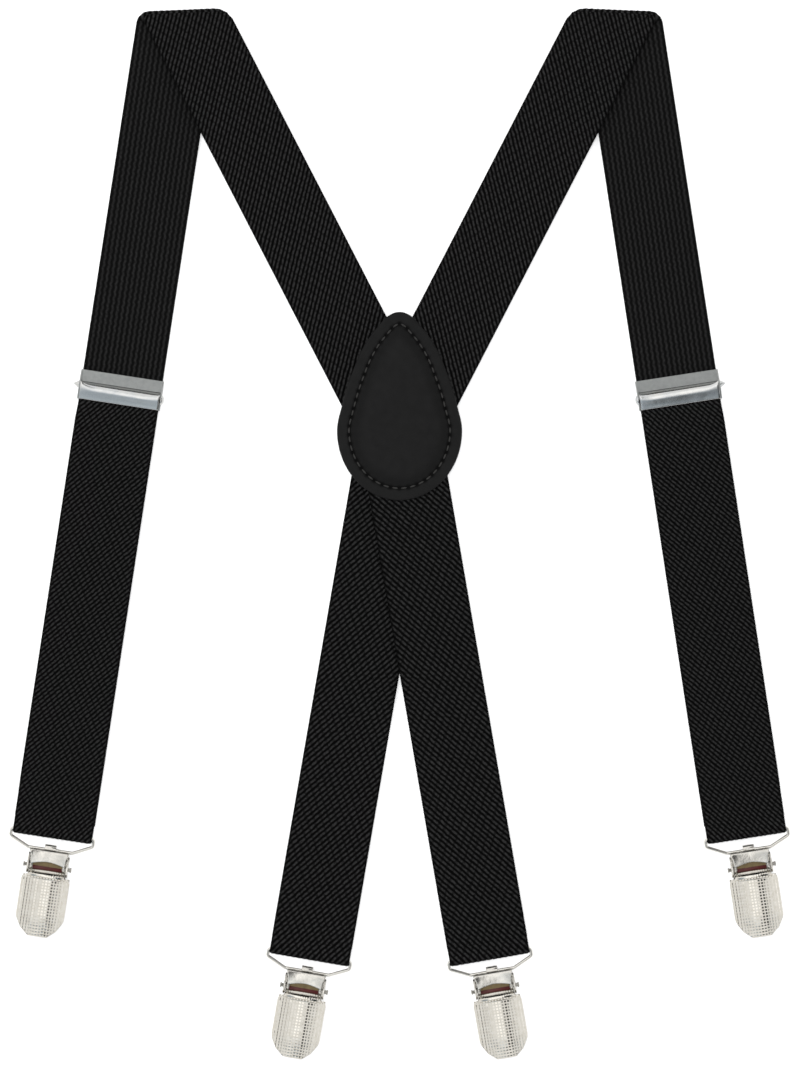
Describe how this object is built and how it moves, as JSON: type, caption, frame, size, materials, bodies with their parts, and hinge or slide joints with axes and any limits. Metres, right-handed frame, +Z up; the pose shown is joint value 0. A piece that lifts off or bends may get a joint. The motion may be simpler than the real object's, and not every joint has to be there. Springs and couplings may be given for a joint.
{
  "type": "suspenders",
  "caption": "Back-crossing elastic suspenders with a teardrop leather patch, metal slide adjusters and lever clips with knurled jaws, folded flat at the shoulders.",
  "frame": {"origin": "middle of the underside of the laid-out suspenders", "axes": "+Y towards the shoulder folds, +X to the right seen from above, +Z up from the surface it lies on"},
  "size_m": [0.3374, 0.4537, 0.007],
  "materials": {
    "webbing": "black twill elastic webbing",
    "leather": "matte black fine grain",
    "leather_back": "matte black split leather",
    "thread": "black bonded polyester thread",
    "bail_wire": "bright nickel-plated wire",
    "nickel_plate": "bright nickel plate",
    "knurled_nickel": "knurled nickel plate",
    "rivet_steel": "plated steel",
    "slide_satin": "satin nickel plate",
    "slide_polished": "bright nickel plate",
    "pad_plastic": "moulded dark red-brown plastic"
  },
  "bodies": {
    "back": {"patch_leather": "leather", "patch_backing": "leather_back", "patch_stitching": "thread", "shoulder_strap_left": "webbing", "back_strap_left": "webbing", "back_bartack_left": "thread", "shoulder_strap_right": "webbing", "back_strap_right": "webbing", "back_bartack_right": "thread"},
    "front_tape_left": {"front_strap_left": "webbing", "front_rear_run_left": "webbing"},
    "carriage_left": {"front_loop_left": "webbing"},
    "slide_left": {"slide_frame_left": "slide_satin", "front_return_left": "webbing"},
    "slide_flap_left": {"slide_lever_left": "slide_polished"},
    "bail_front_left": {"bail_front_left": "bail_wire"},
    "clip_front_left": {"clip_base_front_left": "nickel_plate", "clip_rivets_front_left": "rivet_steel", "rear_pad_front_left": "pad_plastic"},
    "lever_front_left": {"clip_lever_front_left": "nickel_plate"},
    "jaw_front_left": {"clip_jaw_front_left": "knurled_nickel", "front_pad_front_left": "pad_plastic"},
    "bail_back_left": {"bail_back_left": "bail_wire"},
    "clip_back_left": {"clip_base_back_left": "nickel_plate", "clip_rivets_back_left": "rivet_steel", "rear_pad_back_left": "pad_plastic"},
    "lever_back_left": {"clip_lever_back_left": "nickel_plate"},
    "jaw_back_left": {"clip_jaw_back_left": "knurled_nickel", "front_pad_back_left": "pad_plastic"},
    "front_tape_right": {"front_strap_right": "webbing", "front_rear_run_right": "webbing"},
    "carriage_right": {"front_loop_right": "webbing"},
    "slide_right": {"slide_frame_right": "slide_satin", "front_return_right": "webbing"},
    "slide_flap_right": {"slide_lever_right": "slide_polished"},
    "bail_front_right": {"bail_front_right": "bail_wire"},
    "clip_front_right": {"clip_base_front_right": "nickel_plate", "clip_rivets_front_right": "rivet_steel", "rear_pad_front_right": "pad_plastic"},
    "lever_front_right": {"clip_lever_front_right": "nickel_plate"},
    "jaw_front_right": {"clip_jaw_front_right": "knurled_nickel", "front_pad_front_right": "pad_plastic"},
    "bail_back_right": {"bail_back_right": "bail_wire"},
    "clip_back_right": {"clip_base_back_right": "nickel_plate", "clip_rivets_back_right": "rivet_steel", "rear_pad_back_right": "pad_plastic"},
    "lever_back_right": {"clip_lever_back_right": "nickel_plate"},
    "jaw_back_right": {"clip_jaw_back_right": "knurled_nickel", "front_pad_back_right": "pad_plastic"}
  },
  "joints": [
    {"name": "shoulder_fold_left", "type": "hinge", "parent": "back", "child": "front_tape_left", "pos_m": [-0.0948, 0.2257, 0.00235], "axis": [0.9976, 0.0698, 0], "range_deg": [0, 180]},
    {"name": "strap_length_left", "type": "slide", "parent": "front_tape_left", "child": "carriage_left", "axis": [-0.1513, -0.9885, 0], "range_m": [-0.05, 0.05], "deforming": ["front_rear_run_left"]},
    {"name": "slide_travel_left", "type": "slide", "parent": "carriage_left", "child": "slide_left", "axis": [-0.1513, -0.9885, 0], "range_m": [-0.05, 0.05], "deforming": ["front_return_left"]},
    {"name": "slide_flap_left", "type": "hinge", "parent": "slide_left", "child": "slide_flap_left", "pos_m": [-0.12058, 0.06175, 0.0046], "axis": [-0.9885, 0.1513, 0], "range_deg": [0, 90]},
    {"name": "bail_swing_front_left", "type": "hinge", "parent": "carriage_left", "child": "bail_front_left", "pos_m": [-0.14985, -0.12948, 0.0029], "axis": [-0.9885, 0.1513, 0], "range_deg": [-85, 60]},
    {"name": "clip_swing_front_left", "type": "hinge", "parent": "bail_front_left", "child": "clip_front_left", "pos_m": [-0.15094, -0.13664, 0.0015], "axis": [-0.9885, 0.1513, 0], "range_deg": [-85, 60]},
    {"name": "lever_front_left", "type": "hinge", "parent": "clip_front_left", "child": "lever_front_left", "pos_m": [-0.15203, -0.14376, 0.0054], "axis": [0.9885, -0.1513, 0], "range_deg": [0, 95]},
    {"name": "jaw_front_left", "type": "hinge", "parent": "clip_front_left", "child": "jaw_front_left", "pos_m": [-0.15144, -0.13991, 0.0022], "axis": [-0.9885, 0.1513, 0], "range_deg": [0, 11.5]},
    {"name": "bail_swing_back_left", "type": "hinge", "parent": "back", "child": "bail_back_left", "pos_m": [-0.0388, -0.18198, 0.0029], "axis": [-0.9854, 0.1702, 0], "range_deg": [-85, 60]},
    {"name": "clip_swing_back_left", "type": "hinge", "parent": "bail_back_left", "child": "clip_back_left", "pos_m": [-0.04003, -0.18913, 0.0015], "axis": [-0.9854, 0.1702, 0], "range_deg": [-85, 60]},
    {"name": "lever_back_left", "type": "hinge", "parent": "clip_back_left", "child": "lever_back_left", "pos_m": [-0.04126, -0.19622, 0.0054], "axis": [0.9854, -0.1702, 0], "range_deg": [0, 95]},
    {"name": "jaw_back_left", "type": "hinge", "parent": "clip_back_left", "child": "jaw_back_left", "pos_m": [-0.0406, -0.19238, 0.0022], "axis": [-0.9854, 0.1702, 0], "range_deg": [0, 11.5]},
    {"name": "shoulder_fold_right", "type": "hinge", "parent": "back", "child": "front_tape_right", "pos_m": [0.0948, 0.2257, 0.00235], "axis": [0.9976, -0.0698, 0], "range_deg": [0, 180]},
    {"name": "strap_length_right", "type": "slide", "parent": "front_tape_right", "child": "carriage_right", "axis": [0.1513, -0.9885, 0], "range_m": [-0.05, 0.05], "deforming": ["front_rear_run_right"]},
    {"name": "slide_travel_right", "type": "slide", "parent": "carriage_right", "child": "slide_right", "axis": [0.1513, -0.9885, 0], "range_m": [-0.05, 0.05], "deforming": ["front_return_right"]},
    {"name": "slide_flap_right", "type": "hinge", "parent": "slide_right", "child": "slide_flap_right", "pos_m": [0.12058, 0.06175, 0.0046], "axis": [-0.9885, -0.1513, 0], "range_deg": [0, 90]},
    {"name": "bail_swing_front_right", "type": "hinge", "parent": "carriage_right", "child": "bail_front_right", "pos_m": [0.14985, -0.12948, 0.0029], "axis": [-0.9885, -0.1513, 0], "range_deg": [-85, 60]},
    {"name": "clip_swing_front_right", "type": "hinge", "parent": "bail_front_right", "child": "clip_front_right", "pos_m": [0.15094, -0.13664, 0.0015], "axis": [-0.9885, -0.1513, 0], "range_deg": [-85, 60]},
    {"name": "lever_front_right", "type": "hinge", "parent": "clip_front_right", "child": "lever_front_right", "pos_m": [0.15203, -0.14376, 0.0054], "axis": [0.9885, 0.1513, 0], "range_deg": [0, 95]},
    {"name": "jaw_front_right", "type": "hinge", "parent": "clip_front_right", "child": "jaw_front_right", "pos_m": [0.15144, -0.13991, 0.0022], "axis": [-0.9885, -0.1513, 0], "range_deg": [0, 11.5]},
    {"name": "bail_swing_back_right", "type": "hinge", "parent": "back", "child": "bail_back_right", "pos_m": [0.0388, -0.18198, 0.0029], "axis": [-0.9854, -0.1702, 0], "range_deg": [-85, 60]},
    {"name": "clip_swing_back_right", "type": "hinge", "parent": "bail_back_right", "child": "clip_back_right", "pos_m": [0.04003, -0.18913, 0.0015], "axis": [-0.9854, -0.1702, 0], "range_deg": [-85, 60]},
    {"name": "lever_back_right", "type": "hinge", "parent": "clip_back_right", "child": "lever_back_right", "pos_m": [0.04126, -0.19622, 0.0054], "axis": [0.9854, 0.1702, 0], "range_deg": [0, 95]},
    {"name": "jaw_back_right", "type": "hinge", "parent": "clip_back_right", "child": "jaw_back_right", "pos_m": [0.0406, -0.19238, 0.0022], "axis": [-0.9854, -0.1702, 0], "range_deg": [0, 11.5]}
  ],
  "couplings": [
    {"joint": "slide_travel_left", "follows": "strap_length_left", "ratio": 1},
    {"joint": "jaw_front_left", "follows": "lever_front_left", "ratio": 0.11579},
    {"joint": "jaw_back_left", "follows": "lever_back_left", "ratio": 0.11579},
    {"joint": "slide_travel_right", "follows": "strap_length_right", "ratio": 1},
    {"joint": "jaw_front_right", "follows": "lever_front_right", "ratio": 0.11579},
    {"joint": "jaw_back_right", "follows": "lever_back_right", "ratio": 0.11579}
  ]
}
